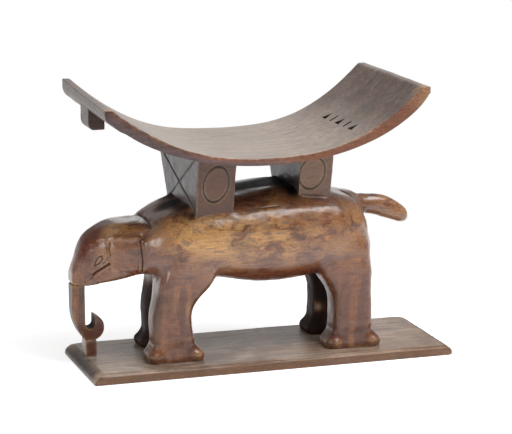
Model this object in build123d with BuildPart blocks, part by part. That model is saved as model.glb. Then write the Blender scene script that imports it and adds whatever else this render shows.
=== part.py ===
# Elephant stool: a crescent seat on two pillars, carried by an elephant that stands on a plank.
# Millimetres, +Z up, +X towards the tail, origin in the middle of the plank's underside.
from build123d import *
from math import hypot
import os

# plank
plank_length = 600
plank_width = 212
plank_edge_height = 12.8  # upright part of the edge, below the bevel
plank_bevel_height = 3.2
plank_end_bevel = 15
plank_side_bevel = 9
plank_corner_radius = 7

# elephant: body
leg_height = 106  # from the plank to the leg joint in the thigh
belly_clearance = 1  # from the leg joint up to the lowest point of the belly
neck_setback = 98  # from the plank's front end to the neck joint
body_length = 375
body_width = 198
body_height = 162  # from the belly's lowest point to the crest of the back
figure_offset = 5  # the figure stands a little to one side of the plank's centre line
crown_round = 0.42  # corner radius at the back, as a share of the section's height
belly_round = 0.46  # corner radius at the belly, as a share of the section's height
# each station of the body: way from neck to rump, belly and back as shares of the height,
# and width as a share of the body's width
body_stations = (
    (0.00, 0.185, 0.690, 0.62),
    (0.05, 0.180, 0.730, 0.79),
    (0.11, 0.175, 0.795, 0.90),
    (0.22, 0.160, 0.865, 0.97),
    (0.42, 0.075, 0.940, 1.00),
    (0.61, 0.035, 0.985, 1.00),
    (0.79, 0.105, 0.930, 0.96),
    (0.92, 0.190, 0.835, 0.82),
    (1.00, 0.350, 0.760, 0.46),
)

# elephant: legs
leg_half_track = 50  # from the figure's middle to the middle of a leg
front_leg_inset = 45  # from the neck joint to the middle of the left foreleg
hind_leg_inset = 31.5  # from the rump to the middle of the hind legs
right_front_set_back = 14  # the right foreleg stands this much further back
leg_length_x = 64  # thickness of the shank along the body
leg_width_y = 56
foot_flare_x = 14  # how far the foot stands out from the shank, fore and aft
foot_flare_y = 4
leg_corner = 0.55  # corner radius as a share of half the smaller side
# each station of a leg: height as a share of the leg height, or past 1 as 1 plus a share of the
# body height above the joint; shift along the body; length and width as shares of the shank; and
# how much of the foot's flare shows
front_leg_stations = (
    (0.00, 0.0, 1.00, 1.00, 0.75),
    (0.08, 0.0, 1.00, 1.00, 1.00),
    (0.20, -1.0, 1.00, 1.00, 0.45),
    (0.42, -3.5, 1.02, 0.98, 0.02),
    (0.72, -4.5, 1.00, 1.00, 0.00),
    (1.00, 7.0, 1.17, 1.15, 0.00),
    (1.16, 19.0, 1.42, 1.34, 0.00),
    (1.33, 30.0, 1.46, 1.46, 0.00),
    (1.52, 42.0, 1.24, 1.24, 0.00),
)
hind_leg_stations = (
    (0.00, 0.0, 1.00, 1.00, 0.75),
    (0.08, 0.0, 1.00, 1.00, 1.00),
    (0.20, -1.0, 1.02, 1.00, 0.40),
    (0.42, -1.5, 1.04, 0.98, 0.02),
    (0.75, -2.0, 1.04, 1.01, 0.00),
    (1.00, -8.5, 1.20, 1.15, 0.00),
    (1.16, -16.0, 1.41, 1.26, 0.00),
    (1.33, -26.0, 1.40, 1.26, 0.00),
    (1.52, -38.0, 1.20, 0.92, 0.00),
)

# elephant: head
head_length = 106
head_height = 108  # from the trunk joint to the crown
head_width = 114
trunk_joint_drop = 18  # the trunk joint lies this far below the body's lowest neck line
head_crown_round = 0.44
jaw_round = 0.12
# each station of the head: way from neck to brow, underside and crown as shares of the height,
# and width as a share of the head's width
head_stations = (
    (0.00, 0.190, 0.945, 0.96),
    (0.12, 0.185, 0.945, 1.00),
    (0.32, 0.130, 0.935, 0.95),
    (0.52, 0.080, 0.885, 0.83),
    (0.68, 0.037, 0.805, 0.67),
    (0.80, 0.000, 0.690, 0.53),
    (0.88, -0.020, 0.520, 0.41),
    (0.945, -0.020, 0.330, 0.32),
    (0.99, -0.020, 0.145, 0.25),
)
head_turn_power = 1.5  # how late the head's middle line bends over to the trunk
ear_height = 54
ear_proud = 4  # how far the ear stands out from the cheek
ear_seat_depth = 9  # how deep the ear is let into the cheek
ear_bottom_rise = 30  # from the trunk joint up to the ear's lower edge
ear_rear_way = 0.12  # ways along the head of the two places where the ear's back meets the cheek
ear_front_way = 0.52
ear_front_overhang = 7
ear_front_slant = 11  # the ear's lower front corner stands this much further back than the upper one

# elephant: trunk and the block under it
trunk_offset = 22  # middle of the trunk, to the side of the plank's centre line
trunk_width = 26
trunk_thickness = 21
trunk_prop_height = 27.5
trunk_foot_flat = 18  # level underside where the curled trunk rests on the block
trunk_hollow_width = 15.3  # open width inside the curl
trunk_curl_reach = 52  # from the front of the trunk to the far side of its curl
trunk_curl_height = 40  # from the block to the tip
trunk_bend_rise = 55  # height above the block where the straight front starts to bend
trunk_hook_thickness = 18.5  # wood under the hollow of the curl

# elephant: tail
tail_length = 84
tail_root_rise = 115  # middle of the tail at the rump, above the belly
tail_height = 33
tail_width = 34
# each station of the tail: way to the tip, drop as a share of the tail's height, height, width
tail_stations = (
    (0.00, 0.00, 1.00, 1.00),
    (0.36, 0.13, 0.93, 0.92),
    (0.58, 0.32, 0.90, 0.88),
    (0.80, 0.58, 0.97, 0.92),
    (0.94, 0.75, 0.82, 0.80),
    (1.00, 0.83, 0.45, 0.45),
)

# seat
seat_width = 293
seat_shift = -11.5  # from the middle of the body to the lowest line of the seat
seat_front_reach = 259
seat_rear_reach = 261
seat_front_rise = 98
seat_rear_rise = 109.5
seat_thickness = 11.5
seat_tip_flat = 12
seat_above_back = 53.5  # from the crest of the back to the seat's lowest point
seat_top_power = 2.5
seat_sweep_share = 0.73  # the even sweep of the underside; the rest is the sharper lift at the tips
seat_sweep_power = 2.2
seat_lift_power = 10
seat_top_steps = (0.3, 0.55, 0.78, 1.0)
seat_underside_steps = (0.35, 0.6, 0.78, 0.88, 0.95, 1.0)

# openings cut through the seat: three triangles and two bars in one row
piercing_row_reach = 156  # from the lowest line of the seat
piercing_row_y = -24
piercing_pitch = 30
piercing_length = 15
triangle_width = 17
bar_width = 4.5

# lugs under the seat's ends
lug_width = 50
lug_length = 33
lug_depth = 46  # from the seat's tip down to the underside of the lug
lug_round = 12

# pillars
pillar_lean = 6  # the head of each pillar stands this much further forward than its foot
pillar_socket_depth = 40  # how deep the pillars are let into the back, below its crest
seat_housing = 3  # how deep the pillars are let into the seat
front_pillar_setback = 104  # from the neck joint to the middle of the pillar's foot
front_pillar_length = 61.5
front_pillar_foot_width = 153
front_pillar_head_width = 236
rear_pillar_inset = 100  # from the rump to the middle of the pillar's foot
rear_pillar_length = 54
rear_pillar_foot_width = 112
rear_pillar_head_width = 194

# incised lines on the pillars
groove_width = 1.8
groove_depth = 1.2
saltire_margin = 3
oval_end_margin = 10
oval_side_margin = 8
visible_foot_rise = 20  # height of the flank where a pillar comes out of it, above its socket

# stub tenons that hold the carved sections together
tenon_depth = 8
tenon_clearance = 0.1
foot_tenon = 24
leg_tenon = 30
leg_tenon_height = 22
neck_tenon_width = 56
neck_tenon_height = 44
neck_tenon_length = 26
trunk_tenon_x = 10
trunk_tenon_y = 13
tail_tenon = 15
tail_tenon_length = 22

# levels and places that follow from the sizes above
plank_top = plank_edge_height + plank_bevel_height
leg_joint = plank_top + leg_height
belly_level = leg_joint + belly_clearance
crest_level = belly_level + body_height
neck_level = belly_level + body_stations[0][1] * body_height
trunk_joint = neck_level - trunk_joint_drop
neck_middle = trunk_joint + (head_stations[0][1] + head_stations[0][2]) / 2 * head_height
tail_level = belly_level + tail_root_rise
prop_top = plank_top + trunk_prop_height
seat_bottom = crest_level + seat_above_back
body_front_x = neck_setback - plank_length / 2
rump_x = body_front_x + body_length
brow_x = body_front_x - head_length
front_leg_x = body_front_x + front_leg_inset
hind_leg_x = rump_x - hind_leg_inset
trunk_front_x = brow_x + head_length * (1 - head_stations[-1][0])
trunk_back_x = trunk_front_x + trunk_thickness
trunk_centre_x = (trunk_front_x + trunk_back_x) / 2
prop_centre_x = trunk_back_x + trunk_foot_flat / 2
front_pillar_x = body_front_x + front_pillar_setback
rear_pillar_x = rump_x - rear_pillar_inset
seat_middle_x = (body_front_x + rump_x) / 2 + seat_shift
piercing_row_x = seat_middle_x + piercing_row_reach


def underside_height(x):
    """Height of the seat's underside at a place along the stool."""
    front = x < seat_middle_x
    reach = seat_front_reach if front else seat_rear_reach
    rise = seat_front_rise if front else seat_rear_rise
    out = abs(x - seat_middle_x) / reach
    sweep = seat_sweep_share * out**seat_sweep_power
    lift = (1 - seat_sweep_share) * out**seat_lift_power
    return seat_bottom + rise * (sweep + lift)


def across(x, y, z):
    """A plane across the stool: local X runs along +Y and local Y runs up."""
    return Plane(origin=(x, y, z), x_dir=(0, 1, 0), z_dir=(1, 0, 0))


def rounded_section(width, height, upper_radius, lower_radius):
    """A block's outline with one pair of radii above and another below."""
    with BuildSketch(mode=Mode.PRIVATE) as section:
        Rectangle(width, height)
        fillet(section.vertices().group_by(Axis.Y)[-1], upper_radius)
        fillet(section.vertices().group_by(Axis.Y)[0], lower_radius)
    return section.sketch


def leg_form(foot_x, side, stations):
    """A whole leg from the plank up into the body, on one side of the figure."""
    side_y = figure_offset + side * leg_half_track
    with BuildPart() as form:
        for rise_share, shift, length_share, width_share, flare in stations:
            shank_share = min(rise_share, 1)
            level = plank_top + shank_share * leg_height + (rise_share - shank_share) * body_height
            length = leg_length_x * length_share + 2 * foot_flare_x * flare
            width = leg_width_y * width_share + 2 * foot_flare_y * flare
            with BuildSketch(Plane(origin=(foot_x + shift, side_y, level))):
                RectangleRounded(length, width, leg_corner * min(length, width) / 2)
        loft()
    return form.part


def head_middle(way):
    """Side place of the head's middle line, which bends over to the trunk."""
    return figure_offset + (trunk_offset - figure_offset) * way**head_turn_power


def head_form(extra):
    """The head, with every section grown by an extra skin."""
    with BuildPart() as form:
        for way, low, high, width_share in head_stations:
            low_z = trunk_joint + low * head_height - extra
            high_z = trunk_joint + high * head_height + extra
            width = head_width * width_share + 2 * extra
            place = across(body_front_x - way * head_length, head_middle(way), (low_z + high_z) / 2)
            crown = head_crown_round * min(width, high_z - low_z)
            with BuildSketch(place):
                add(rounded_section(width, high_z - low_z, crown, jaw_round * width))
        loft()
    return form.part


def cheek_point(way, side):
    """A place on one cheek, between the stations of the head, at the ear's lower edge."""
    for near, far in zip(head_stations, head_stations[1:]):
        if near[0] <= way <= far[0]:
            share = (way - near[0]) / (far[0] - near[0])
            half_width = head_width * (near[3] + (far[3] - near[3]) * share) / 2
    side_y = head_middle(way) + side * half_width
    return Vector(body_front_x - way * head_length, side_y, trunk_joint + ear_bottom_rise)


leg_places = {
    "left_front_leg": (front_leg_x, -1, front_leg_stations),
    "right_front_leg": (front_leg_x + right_front_set_back, 1, front_leg_stations),
    "left_hind_leg": (hind_leg_x, -1, hind_leg_stations),
    "right_hind_leg": (hind_leg_x, 1, hind_leg_stations),
}
leg_forms = {name: leg_form(*place) for name, place in leg_places.items()}


def leg_centre(name, level):
    """Centre of a leg's tenon at a level."""
    foot_x, side = leg_places[name][:2]
    return (foot_x, figure_offset + side * leg_half_track, level)


def make_leg(name):
    """One leg below the thigh joint, with a stub tenon at each end."""
    with BuildPart() as leg:
        add(leg_forms[name])
        split(bisect_by=Plane.XY.offset(leg_joint), keep=Keep.BOTTOM)
        with BuildSketch(Plane(origin=leg_centre(name, leg_joint))):
            Rectangle(leg_tenon, leg_tenon)
        extrude(amount=leg_tenon_height)
        with BuildSketch(Plane(origin=leg_centre(name, plank_top))):
            Rectangle(foot_tenon, foot_tenon)
        extrude(amount=-tenon_depth)
    return leg


def make_pillar(foot_x, length, foot_width, head_width, groove_side):
    """A tapered pillar let into the back and the seat, with incised lines."""
    socket_level = crest_level - pillar_socket_depth
    head_x = foot_x - pillar_lean
    front_top = underside_height(head_x - length / 2) + seat_housing
    rear_top = underside_height(head_x + length / 2) + seat_housing
    top_level = max(front_top, rear_top)
    rise = top_level - socket_level
    face_low = socket_level + visible_foot_rise
    face_high = min(front_top, rear_top) - seat_housing
    face_middle = (face_low + face_high) / 2
    way_up = (face_middle - socket_level) / rise
    middle_x = foot_x - pillar_lean * way_up
    middle_width = foot_width + (head_width - foot_width) * way_up
    with BuildPart() as pillar:
        with BuildSketch(Plane(origin=(foot_x, 0, socket_level))):
            Rectangle(length, foot_width)
        with BuildSketch(Plane(origin=(head_x, 0, top_level))):
            Rectangle(length, head_width)
        loft(ruled=True)
        slope = Plane(
            origin=(head_x - length / 2, 0, front_top),
            x_dir=(0, 1, 0),
            z_dir=(front_top - rear_top, 0, length),
        )
        split(bisect_by=slope, keep=Keep.BOTTOM)
        # an oval ring on each side
        for side in (-1, 1):
            flare = side * (head_width - foot_width) / 2
            side_plane = Plane(
                origin=(middle_x, side * middle_width / 2, face_middle),
                x_dir=(1, 0, 0),
                z_dir=(0, side * rise, -side * flare),
            )
            oval_x = length / 2 - oval_side_margin
            oval_z = (face_high - face_low) / 2 - oval_end_margin
            with BuildSketch(side_plane):
                Ellipse(oval_x, oval_z)
                Ellipse(oval_x - groove_width, oval_z - groove_width, mode=Mode.SUBTRACT)
            extrude(amount=-groove_depth, mode=Mode.SUBTRACT)
        # a saltire on the face that looks along the stool
        end_plane = Plane(
            origin=(middle_x + groove_side * length / 2, 0, face_middle),
            x_dir=(0, 1, 0),
            z_dir=(groove_side * rise, 0, groove_side * pillar_lean),
        )
        half_height = (face_high - face_low) / 2 - saltire_margin
        half_spread = (head_width - foot_width) / 2 * half_height / rise
        low_y = middle_width / 2 - half_spread - saltire_margin
        high_y = middle_width / 2 + half_spread - saltire_margin
        up = 1 if end_plane.y_dir.Z > 0 else -1
        with BuildSketch(end_plane):
            for hand in (-1, 1):
                with BuildLine():
                    Line((-hand * low_y, -up * half_height), (hand * high_y, up * half_height))
                trace(line_width=groove_width)
        extrude(amount=-groove_depth, mode=Mode.SUBTRACT)
    return pillar


def make_lug(direction):
    """A block under one tip of the seat, rounded at its lower outer corner."""
    reach = seat_front_reach if direction < 0 else seat_rear_reach
    tip_x = seat_middle_x + direction * reach
    tip_z = underside_height(tip_x)
    inner_x = tip_x - direction * lug_length
    outer_x = tip_x
    bottom_z = tip_z - lug_depth
    with BuildPart() as lug:
        with BuildSketch(Plane.XZ):
            with BuildLine():
                Polyline(
                    (outer_x, tip_z - seat_tip_flat),
                    (outer_x, bottom_z),
                    (inner_x, bottom_z),
                    (inner_x, underside_height(inner_x) + seat_housing),
                    close=True,
                )
            make_face()
        extrude(amount=lug_width / 2, both=True)
        corner = lug.edges().filter_by(Axis.Y).sort_by(Axis.Z)[:2].sort_by(Axis.X)
        fillet(corner[0] if direction < 0 else corner[-1], lug_round)
    return lug


def make_ear(side, skin):
    """A flat-backed ear, let into one cheek and following the head's roundness outside."""
    rear = cheek_point(ear_rear_way, side)
    front = cheek_point(ear_front_way, side)
    along = front - rear
    outward = Vector(-side * along.Y, side * along.X, 0) * -1
    ear_length = along.length + ear_front_overhang
    back = rear - outward.normalized() * ear_seat_depth
    centre = back + along.normalized() * (ear_length / 2) + Vector(0, 0, ear_height / 2)
    with BuildPart() as ear:
        with BuildSketch(Plane(origin=centre, x_dir=along, z_dir=outward)):
            with BuildLine():
                Polyline(
                    (-ear_length / 2, side * ear_height / 2),
                    (ear_length / 2, side * ear_height / 2),
                    (ear_length / 2 - ear_front_slant, -side * ear_height / 2),
                    (-ear_length / 2, -side * ear_height / 2),
                    close=True,
                )
            make_face()
        extrude(amount=2 * ear_seat_depth + ear_proud)
        add(skin, mode=Mode.INTERSECT)
    return ear


def cut_mortise(place, size_x, size_y, depth):
    """A blind mortise for a tenon, cut into the part that is being built."""
    with BuildSketch(place) as mouth:
        Rectangle(size_x + 2 * tenon_clearance, size_y + 2 * tenon_clearance)
    extrude(mouth.sketch, amount=depth + tenon_clearance, mode=Mode.SUBTRACT)


os.makedirs("parts", exist_ok=True)
pieces = {}

# pillars, lugs and seat
pieces["front_pillar"] = make_pillar(
    front_pillar_x, front_pillar_length, front_pillar_foot_width, front_pillar_head_width, -1
)
pieces["rear_pillar"] = make_pillar(
    rear_pillar_x, rear_pillar_length, rear_pillar_foot_width, rear_pillar_head_width, 1
)
pieces["front_seat_lug"] = make_lug(-1)
pieces["rear_seat_lug"] = make_lug(1)

with BuildPart() as seat:
    seat_top = seat_bottom + seat_thickness
    top_points = [(seat_middle_x, seat_top)]
    underside_points = [(seat_middle_x, seat_bottom)]
    for direction, reach, rise in (
        (-1, seat_front_reach, seat_front_rise),
        (1, seat_rear_reach, seat_rear_rise),
    ):
        top_side = [
            (
                seat_middle_x + direction * step * (reach - seat_tip_flat),
                seat_top + step**seat_top_power * (rise - seat_thickness),
            )
            for step in seat_top_steps
        ]
        underside = [
            (
                seat_middle_x + direction * step * reach,
                underside_height(seat_middle_x + direction * step * reach),
            )
            for step in seat_underside_steps
        ]
        if direction < 0:
            top_points = top_side[::-1] + top_points
            underside_points = underside[::-1] + underside_points
        else:
            top_points = top_points + top_side
            underside_points = underside_points + underside
    with BuildSketch(Plane.XZ):
        with BuildLine():
            Spline(*top_points)
            Spline(*underside_points)
            Line(top_points[0], underside_points[0])
            Line(top_points[-1], underside_points[-1])
        make_face()
    extrude(amount=seat_width / 2, both=True)
    for name in ("front_pillar", "rear_pillar", "front_seat_lug", "rear_seat_lug"):
        add(pieces[name].part, mode=Mode.SUBTRACT)
    # three triangles and two bars, cut right through
    triangle_side = hypot(piercing_length, triangle_width / 2)
    with BuildSketch(Plane.XY.offset(seat_bottom)):
        for place in (-2, 0, 2):
            with Locations((piercing_row_x, piercing_row_y + place * piercing_pitch)):
                Triangle(a=triangle_width, b=triangle_side, c=triangle_side, rotation=-90)
        for place in (-1, 1):
            with Locations((piercing_row_x, piercing_row_y + place * piercing_pitch)):
                Rectangle(piercing_length, bar_width)
    extrude(amount=seat_rear_rise, mode=Mode.SUBTRACT)
pieces["seat"] = seat

# plank
with BuildPart() as plank:
    with BuildSketch(Plane.XY):
        RectangleRounded(plank_length, plank_width, plank_corner_radius)
    extrude(amount=plank_edge_height)
    with BuildSketch(Plane.XY.offset(plank_edge_height)):
        RectangleRounded(plank_length, plank_width, plank_corner_radius)
    with BuildSketch(Plane.XY.offset(plank_top)):
        RectangleRounded(
            plank_length - 2 * plank_end_bevel,
            plank_width - 2 * plank_side_bevel,
            plank_corner_radius,
        )
    loft(ruled=True)
    for name in leg_places:
        mouth = Plane(origin=leg_centre(name, plank_top), z_dir=(0, 0, -1))
        cut_mortise(mouth, foot_tenon, foot_tenon, tenon_depth)
    prop_mouth = Plane(origin=(prop_centre_x, trunk_offset, plank_top), z_dir=(0, 0, -1))
    cut_mortise(prop_mouth, trunk_tenon_x, trunk_tenon_y, tenon_depth)
pieces["base_plank"] = plank

# legs
for name in leg_places:
    pieces[name] = make_leg(name)

# body
with BuildPart() as torso:
    for way, low, high, width_share in body_stations:
        section_height = (high - low) * body_height
        section_middle = belly_level + (high + low) / 2 * body_height
        place = across(body_front_x + way * body_length, figure_offset, section_middle)
        with BuildSketch(place):
            add(
                rounded_section(
                    body_width * width_share,
                    section_height,
                    crown_round * section_height,
                    belly_round * section_height,
                )
            )
    loft()
    for form in leg_forms.values():
        add(form)
    split(bisect_by=Plane.XY.offset(leg_joint), keep=Keep.TOP)
    split(bisect_by=Plane.YZ.offset(body_front_x), keep=Keep.TOP)
    for name in ("front_pillar", "rear_pillar"):
        add(pieces[name].part, mode=Mode.SUBTRACT)
    for name in leg_places:
        mouth = Plane(origin=leg_centre(name, leg_joint))
        cut_mortise(mouth, leg_tenon, leg_tenon, leg_tenon_height)
    neck_mouth = across(body_front_x, figure_offset, neck_middle)
    cut_mortise(neck_mouth, neck_tenon_width, neck_tenon_height, neck_tenon_length)
    tail_mouth = Plane(origin=(rump_x, figure_offset, tail_level), x_dir=(0, 1, 0), z_dir=(-1, 0, 0))
    cut_mortise(tail_mouth, tail_tenon, tail_tenon, tail_tenon_length)
pieces["torso"] = torso

# head and ears
ear_skin = head_form(ear_proud)
pieces["left_ear"] = make_ear(-1, ear_skin)
pieces["right_ear"] = make_ear(1, ear_skin)
with BuildPart() as head:
    add(head_form(0))
    split(bisect_by=Plane.XY.offset(trunk_joint), keep=Keep.TOP)
    for name in ("left_ear", "right_ear"):
        add(pieces[name].part, mode=Mode.SUBTRACT)
    with BuildSketch(neck_mouth):
        Rectangle(neck_tenon_width, neck_tenon_height)
    extrude(amount=neck_tenon_length)
    trunk_mouth = Plane(origin=(trunk_centre_x, trunk_offset, trunk_joint))
    cut_mortise(trunk_mouth, trunk_tenon_x, trunk_tenon_y, tenon_depth)
pieces["head"] = head

# trunk, curled back on itself above its block
with BuildPart() as trunk:
    bend_level = prop_top + trunk_bend_rise
    flat_end_x = trunk_back_x + trunk_foot_flat
    curl_x = trunk_front_x + trunk_curl_reach
    tip = (trunk_back_x + trunk_hollow_width, prop_top + trunk_curl_height)
    hollow_floor = prop_top + trunk_hook_thickness
    hollow_radius = trunk_hollow_width / 2
    with BuildSketch(Plane.XZ.offset(-trunk_offset)):
        with BuildLine():
            outer = Line((trunk_front_x, trunk_joint), (trunk_front_x, bend_level))
            TangentArc(outer @ 1, (trunk_back_x, prop_top), tangent=outer % 1)
            foot = Line((trunk_back_x, prop_top), (flat_end_x, prop_top))
            curl = ThreePointArc(
                foot @ 1,
                (curl_x, prop_top + trunk_curl_height / 2),
                tip,
            )
            drop = Line(curl @ 1, (tip[0], hollow_floor + hollow_radius))
            hollow = TangentArc(drop @ 1, (trunk_back_x, hollow_floor + hollow_radius), tangent=drop % 1)
            Line(hollow @ 1, (trunk_back_x, trunk_joint))
            Line((trunk_back_x, trunk_joint), outer @ 0)
        make_face()
    extrude(amount=trunk_width / 2, both=True)
    with BuildSketch(trunk_mouth):
        Rectangle(trunk_tenon_x, trunk_tenon_y)
    extrude(amount=tenon_depth)
pieces["trunk"] = trunk

# block that carries the curl of the trunk
with BuildPart() as trunk_prop:
    with BuildSketch(Plane(origin=(prop_centre_x, trunk_offset, plank_top))):
        Rectangle(trunk_foot_flat, trunk_width)
    extrude(amount=trunk_prop_height)
    with BuildSketch(prop_mouth):
        Rectangle(trunk_tenon_x, trunk_tenon_y)
    extrude(amount=tenon_depth)
pieces["trunk_prop"] = trunk_prop

# tail
with BuildPart() as tail:
    for way, drop, height_share, width_share in tail_stations:
        place = across(rump_x + way * tail_length, figure_offset, tail_level - drop * tail_height)
        with BuildSketch(place):
            Ellipse(tail_width * width_share / 2, tail_height * height_share / 2)
    loft()
    with BuildSketch(tail_mouth):
        Rectangle(tail_tenon, tail_tenon)
    extrude(amount=tail_tenon_length)
pieces["tail"] = tail

for name, piece in pieces.items():
    piece.part.label = name
    export_step(piece.part, f"parts/{name}.step")
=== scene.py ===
import math
import bmesh
import bpy
import numpy as np
from mathutils import Matrix, Vector, noise
from mathutils.bvhtree import BVHTree


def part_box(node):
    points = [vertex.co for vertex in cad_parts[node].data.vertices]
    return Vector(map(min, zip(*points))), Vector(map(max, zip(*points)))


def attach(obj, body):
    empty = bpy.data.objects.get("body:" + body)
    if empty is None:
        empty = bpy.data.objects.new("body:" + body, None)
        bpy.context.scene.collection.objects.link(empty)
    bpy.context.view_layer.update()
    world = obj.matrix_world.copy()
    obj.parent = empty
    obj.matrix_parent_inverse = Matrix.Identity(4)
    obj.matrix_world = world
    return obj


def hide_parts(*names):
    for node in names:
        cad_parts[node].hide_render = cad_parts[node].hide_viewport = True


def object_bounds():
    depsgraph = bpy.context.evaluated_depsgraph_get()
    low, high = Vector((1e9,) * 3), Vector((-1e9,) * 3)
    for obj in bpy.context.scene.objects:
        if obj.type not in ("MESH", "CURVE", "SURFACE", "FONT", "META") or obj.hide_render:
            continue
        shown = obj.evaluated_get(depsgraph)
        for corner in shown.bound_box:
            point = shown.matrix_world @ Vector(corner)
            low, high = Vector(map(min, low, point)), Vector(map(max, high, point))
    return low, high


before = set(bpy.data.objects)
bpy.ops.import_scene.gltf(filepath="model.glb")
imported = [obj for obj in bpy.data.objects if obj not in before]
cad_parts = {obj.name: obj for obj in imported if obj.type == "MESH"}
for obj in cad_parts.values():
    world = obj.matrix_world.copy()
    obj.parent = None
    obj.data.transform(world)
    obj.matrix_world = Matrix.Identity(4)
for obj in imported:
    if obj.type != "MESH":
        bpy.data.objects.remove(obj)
cadBounds = [list(corner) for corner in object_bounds()]
print("frame loaded:", len(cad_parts), "sections")

mm = 0.001  # sizes are real millimetres; the elephant looks towards -X and its left side is -Y


def boxOf(name):  # both corners of a section's box, in millimetres
    return [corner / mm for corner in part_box(name)]


def formOf(*names):  # merged copies of sections of the frame
    form = bmesh.new()
    for name in names:
        form.from_mesh(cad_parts[name].data)
    bmesh.ops.remove_doubles(form, verts=form.verts, dist=0.002 * mm)
    return form


def keepLargestShell(form):
    waiting = set(form.verts)
    shells = []
    while waiting:
        reached = [waiting.pop()]
        for vert in reached:
            for edge in vert.link_edges:
                other = edge.other_vert(vert)
                if other in waiting:
                    waiting.remove(other)
                    reached.append(other)
        shells.append(reached)
    shells.sort(key=len)
    bmesh.ops.delete(form, geom=[vert for shell in shells[:-1] for vert in shell], context="VERTS")


def meshOf(name, form):
    mesh = bpy.data.meshes.new(name)
    form.to_mesh(mesh)
    form.free()
    return mesh


def linked(name, data):  # a new object in the scene
    item = bpy.data.objects.new(name, data)
    bpy.context.scene.collection.objects.link(item)
    return item


def takeForm(blank, *helpers):  # what a blank's modifiers make of it; the blanks are thrown away
    form = bmesh.new()
    form.from_object(blank, bpy.context.evaluated_depsgraph_get())
    for item in (blank, *helpers):
        mesh = item.data
        bpy.data.objects.remove(item)
        bpy.data.meshes.remove(mesh)
    return form


def reskin(form, cell):  # one closed skin of even quads around everything in a form
    blank = linked("blank", meshOf("blank", form))
    evenSkin = blank.modifiers.new("even skin", "REMESH")
    evenSkin.mode = "VOXEL"
    evenSkin.voxel_size = cell * mm
    skin = takeForm(blank)
    keepLargestShell(skin)
    bmesh.ops.recalc_face_normals(skin, faces=skin.faces)
    return skin


def soften(form, rounds, reach=None, share=0.5):  # reach says how long each vertex keeps being smoothed
    verts = list(form.verts)
    for turn in range(rounds):
        if reach is not None:
            verts = [vert for vert, part in zip(form.verts, reach) if part * rounds > turn]
        bmesh.ops.smooth_vert(
            form, verts=verts, factor=share, use_axis_x=True, use_axis_y=True, use_axis_z=True
        )


def readForm(form):  # points in millimetres, and normals
    form.normal_update()
    points = np.array([vert.co for vert in form.verts]) / mm
    normals = np.array([vert.normal for vert in form.verts])
    return points, normals


def moveForm(form, points):
    for vert, point in zip(form.verts, points * mm):
        vert.co = point


def raised(form, points, normals, heights):  # moves each vertex along its normal and reads the form again
    moveForm(form, points + normals * heights[:, None])
    return readForm(form)


def keepValues(form, **layers):  # values on each vertex, which the finish reads by their names
    for name, values in layers.items():
        layer = form.verts.layers.float.get(name) or form.verts.layers.float.new(name)
        for vert, value in zip(form.verts, values):
            vert[layer] = value


def keptValues(form, name):
    layer = form.verts.layers.float[name]
    return np.array([vert[layer] for vert in form.verts])


def neighbours(form):
    form.verts.index_update()
    return np.array([(edge.verts[0].index, edge.verts[1].index) for edge in form.edges])


def averaged(values, pairs, rounds):  # each value drawn towards those around it
    values = np.array(values, float).reshape(len(values), -1)
    size = len(values)
    first, second = pairs.T
    count = np.maximum(np.bincount(pairs.ravel(), minlength=size), 1)[:, None]
    for turn in range(rounds):
        total = np.stack([
            np.bincount(first, column[second], size) + np.bincount(second, column[first], size)
            for column in values.T
        ], 1)
        values = 0.5 * values + 0.5 * total / count
    return values


def fade(values, low, high):
    share = np.clip((values - low) / (high - low), 0, 1)
    return share * share * (3 - 2 * share)


def within(values, start, full, ebb, end):  # fades in, then out again
    return fade(values, start, full) * (1 - fade(values, ebb, end))


def ripple(points, size, start=0.0):  # smooth noise whose waves are about that long
    spots = points / np.array(size) + start
    return np.array([noise.noise(Vector(spot)) for spot in spots])


def awayFrom(points, path):  # distance to a line of points, in two or three directions
    path = np.array(path, float)
    nearest = np.full(len(points), 1e9)
    for start, end in zip(path, path[1:]):
        run = end - start
        share = np.clip((points - start) @ run / (run @ run), 0, 1)
        nearest = np.minimum(nearest, np.linalg.norm(points - start - share[:, None] * run, axis=1))
    return nearest


def cut(distance, width):  # the round profile of a cut or a ridge
    return np.exp(-((distance / width) ** 2))


def patch(points, centre, reach):  # a soft round patch, as seen from the side
    return cut(np.linalg.norm((points[:, [0, 2]] - centre) / np.array(reach), axis=1), 1)


def markWearAndShade(form, shape):  # proud places are rubbed, hollow ones hold dirt and are painted in shade
    points, normals = readForm(form)
    pairs = neighbours(form)
    close, wide = (
        ((points - averaged(points, pairs, rounds)) * normals).sum(1) / height
        for rounds, height in (shape["fineWearAndShade"], shape["broadShadeAndDirt"])
    )
    dirt = np.clip(-close, 0, 1) + np.clip(-wide, 0, 1)
    wear, dirt = (averaged(np.clip(values, 0, 1), pairs, 1)[:, 0] for values in (close, dirt))
    keepValues(form, wear=wear, dirt=dirt)


def keepInside(form):  # nothing stands beyond the frame's own box
    for vert in form.verts:
        vert.co = [min(max(value, least), most) for value, least, most in zip(vert.co, *cadBounds)]


def finishPiece(name, form, material, slotName, *nodes):
    keepInside(form)
    form.normal_update()
    piece = linked(name, meshOf(name, form))
    piece.data.materials.append(material)
    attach(piece, "root")
    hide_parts(*nodes)
    return piece


def smoothFaces(form):
    for face in form.faces:
        face.smooth = True


# materials

def addNode(tree, kind, inputs, **settings):  # an input takes a number, a colour or another node's output
    node = tree.nodes.new("ShaderNode" + kind)
    for name, value in settings.items():
        setattr(node, name, value)
    for name, value in inputs.items():
        socket = node.inputs[name]
        if isinstance(value, bpy.types.NodeSocket):
            tree.links.new(value, socket)
        elif isinstance(value, tuple):
            socket.default_value = (*value, 1)[:len(socket.default_value)]
        else:
            socket.default_value = value
    return node


def emptyTree(owner):
    owner.use_nodes = True
    owner.node_tree.nodes.clear()
    return owner.node_tree


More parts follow.
